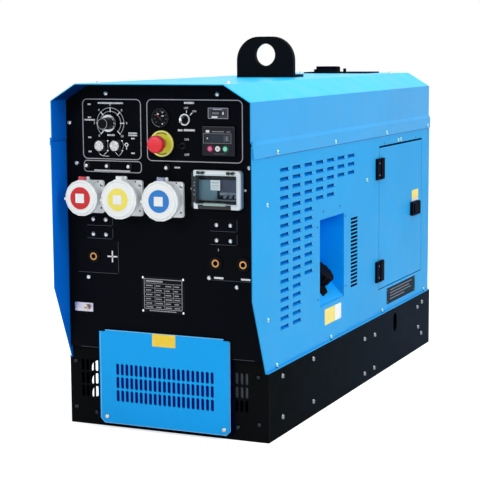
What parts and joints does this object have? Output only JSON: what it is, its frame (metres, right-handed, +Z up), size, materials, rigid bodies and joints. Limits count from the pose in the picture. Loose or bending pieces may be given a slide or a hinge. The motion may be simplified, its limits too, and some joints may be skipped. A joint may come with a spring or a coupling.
{
  "type": "engine driven welder",
  "caption": "Silenced diesel welding generator in a sheet steel canopy with a service door, filler pocket, supply sockets, welding outputs and a lifting eye.",
  "frame": {"origin": "on the ground, at the middle of the bounding box", "axes": "+X to the right seen from the control panel, +Y from the control panel to the rear along the length, +Z up"},
  "size_m": [0.6868, 1.7304, 1.2],
  "materials": {
    "canopy_blue": "semi-gloss powder coat",
    "black_paint": "satin powder coat",
    "engine_paint": "painted casting",
    "steel": "bright zinc plated",
    "rubber": "matt",
    "black_plastic": "matt",
    "radiator_black": "black painted",
    "grey_plastic": "satin",
    "red_plastic": "gloss",
    "yellow_plastic": "gloss",
    "blue_plastic": "gloss",
    "smoked_window": "smoked clear plastic",
    "green_plastic": "gloss",
    "white_plastic": "gloss",
    "nickel": "nickel plated",
    "black_insulator": "moulded insulator",
    "brass": "machined"
  },
  "bodies": {
    "machine": {"air_filter": "black_plastic", "base_frame": "black_paint", "base_front_panel": "black_paint", "battery": "black_plastic", "breaker_box": "white_plastic", "breakers": "grey_plastic", "bulkhead": "black_paint", "cee_housings": "white_plastic", "control_panel": "black_paint", "cylinder_head": "engine_paint", "dinse_contacts": "brass", "dinse_sockets": "black_insulator", "dome_screws": "steel", "earth_terminal": "steel", "engine_block": "engine_paint", "engine_mounts": "rubber", "estop_base": "yellow_plastic", "fan_belt": "rubber", "filler_pocket": "canopy_blue", "fuel_tank": "black_plastic", "generator_housing": "engine_paint", "hinge_leaves": "black_paint", "instruments": "black_plastic", "intake_cover": "canopy_blue", "lifting_frame": "black_paint", "muffler": "steel", "panel_bushings": "nickel", "radiator": "radiator_black", "rear_panel": "canopy_blue", "roof_cover": "canopy_blue", "roof_outlet_plate": "black_paint", "side_panel_left": "canopy_blue", "side_panel_right": "canopy_blue"},
    "crank": {"crank_and_rotor": "steel"},
    "fan": {"cooling_fan": "black_plastic"},
    "door": {"side_door": "canopy_blue", "door_fittings": "black_paint"},
    "latch": {"latch_paddle": "black_paint"},
    "rain_cap": {"rain_cap": "black_paint"},
    "fuel_cap": {"fuel_cap": "black_plastic"},
    "lid_red": {"cee_lid_red": "white_plastic"},
    "lid_yellow": {"cee_lid_yellow": "white_plastic"},
    "lid_blue": {"cee_lid_blue": "white_plastic"},
    "breaker_window": {"breaker_window": "smoked_window"},
    "breaker_levers": {"breaker_levers": "black_plastic"},
    "estop_stem": {"estop_stem": "red_plastic"},
    "estop_head": {"estop_head": "red_plastic"},
    "current_knob": {"current_knob": "black_plastic"},
    "key": {"key_barrel": "steel"},
    "toggle": {"toggle_lever": "black_plastic"},
    "earth_nut": {"earth_nut": "brass"},
    "button_red": {"controller_button_red": "red_plastic"},
    "button_white": {"controller_button_white": "white_plastic"},
    "button_green": {"controller_button_green": "green_plastic"},
    "reset_1": {"reset_button_1": "white_plastic"},
    "reset_2": {"reset_button_2": "white_plastic"},
    "reset_3": {"reset_button_3": "white_plastic"},
    "reset_4": {"reset_button_4": "white_plastic"},
    "connector_cap_1": {"connector_cap_1": "nickel"},
    "connector_cap_2": {"connector_cap_2": "nickel"}
  },
  "joints": [
    {"name": "crank_spin", "type": "hinge", "parent": "machine", "child": "crank", "pos_m": [0, 0, 0.43], "axis": [0, 1, 0], "continuous": true},
    {"name": "fan_spin", "type": "hinge", "parent": "machine", "child": "fan", "pos_m": [0, 0.545, 0.54], "axis": [0, 1, 0], "continuous": true},
    {"name": "door_swing", "type": "hinge", "parent": "machine", "child": "door", "pos_m": [0.336, 0.2575, 0.556], "axis": [0, 0, -1], "range_deg": [0, 110]},
    {"name": "latch_pull", "type": "hinge", "parent": "door", "child": "latch", "pos_m": [0.3395, 0.701, 0.554], "axis": [0, 0, 1], "range_deg": [0, 40], "stiffness_Nm_per_rad": 0.3},
    {"name": "rain_cap_lift", "type": "hinge", "parent": "machine", "child": "rain_cap", "pos_m": [-0.017, 0.77, 1.0815], "axis": [0, 1, 0], "range_deg": [0, 70]},
    {"name": "fuel_cap_lift", "type": "slide", "parent": "machine", "child": "fuel_cap", "axis": [0.7071, 0, 0.7071], "range_m": [0, 0.06]},
    {"name": "cee_lid_red_open", "type": "hinge", "parent": "machine", "child": "lid_red", "pos_m": [-0.24, -0.824, 0.7765], "axis": [-1, 0, 0], "range_deg": [0, 110]},
    {"name": "cee_lid_yellow_open", "type": "hinge", "parent": "machine", "child": "lid_yellow", "pos_m": [-0.112, -0.824, 0.7815], "axis": [-1, 0, 0], "range_deg": [0, 110]},
    {"name": "cee_lid_blue_open", "type": "hinge", "parent": "machine", "child": "lid_blue", "pos_m": [0.025, -0.824, 0.782], "axis": [-1, 0, 0], "range_deg": [0, 110]},
    {"name": "breaker_window_open", "type": "hinge", "parent": "machine", "child": "breaker_window", "pos_m": [0.185, -0.803, 0.802], "axis": [-1, 0, 0], "range_deg": [0, 110]},
    {"name": "breaker_levers_throw", "type": "hinge", "parent": "machine", "child": "breaker_levers", "pos_m": [0.215, -0.764, 0.738], "axis": [-1, 0, 0], "range_deg": [0, 56]},
    {"name": "estop_press", "type": "slide", "parent": "machine", "child": "estop_stem", "axis": [0, 1, 0], "range_m": [0, 0.005], "stiffness_N_per_m": 1500},
    {"name": "estop_twist", "type": "hinge", "parent": "estop_stem", "child": "estop_head", "pos_m": [0.002, -0.82, 0.883], "axis": [0, 1, 0], "range_deg": [0, 30], "stiffness_Nm_per_rad": 0.1},
    {"name": "current_knob_turn", "type": "hinge", "parent": "machine", "child": "current_knob", "pos_m": [-0.171, -0.8, 0.941], "axis": [0, -1, 0], "range_deg": [-135, 135]},
    {"name": "key_turn", "type": "hinge", "parent": "machine", "child": "key", "pos_m": [0.08, -0.78, 0.955], "axis": [0, 1, 0], "range_deg": [0, 90]},
    {"name": "toggle_throw", "type": "hinge", "parent": "machine", "child": "toggle", "pos_m": [0.072, -0.781, 0.878], "axis": [1, 0, 0], "range_deg": [-12, 12]},
    {"name": "earth_nut_turn", "type": "hinge", "parent": "machine", "child": "earth_nut", "pos_m": [-0.262, -0.792, 0.374], "axis": [0, -1, 0], "continuous": true},
    {"name": "controller_red_press", "type": "slide", "parent": "machine", "child": "button_red", "axis": [0, 1, 0], "range_m": [0, 0.002], "stiffness_N_per_m": 500},
    {"name": "controller_white_press", "type": "slide", "parent": "machine", "child": "button_white", "axis": [0, 1, 0], "range_m": [0, 0.002], "stiffness_N_per_m": 500},
    {"name": "controller_green_press", "type": "slide", "parent": "machine", "child": "button_green", "axis": [0, 1, 0], "range_m": [0, 0.002], "stiffness_N_per_m": 500},
    {"name": "reset_1_press", "type": "slide", "parent": "machine", "child": "reset_1", "axis": [0, 1, 0], "range_m": [0, 0.004], "stiffness_N_per_m": 500},
    {"name": "reset_2_press", "type": "slide", "parent": "machine", "child": "reset_2", "axis": [0, 1, 0], "range_m": [0, 0.004], "stiffness_N_per_m": 500},
    {"name": "reset_3_press", "type": "slide", "parent": "machine", "child": "reset_3", "axis": [0, 1, 0], "range_m": [0, 0.004], "stiffness_N_per_m": 500},
    {"name": "reset_4_press", "type": "slide", "parent": "machine", "child": "reset_4", "axis": [0, 1, 0], "range_m": [0, 0.004], "stiffness_N_per_m": 500},
    {"name": "connector_cap_1_pull", "type": "slide", "parent": "machine", "child": "connector_cap_1", "axis": [0, -1, 0], "range_m": [0, 0.025]},
    {"name": "connector_cap_2_pull", "type": "slide", "parent": "machine", "child": "connector_cap_2", "axis": [0, -1, 0], "range_m": [0, 0.025]}
  ],
  "couplings": [
    {"joint": "fan_spin", "follows": "crank_spin", "ratio": 1.25}
  ]
}
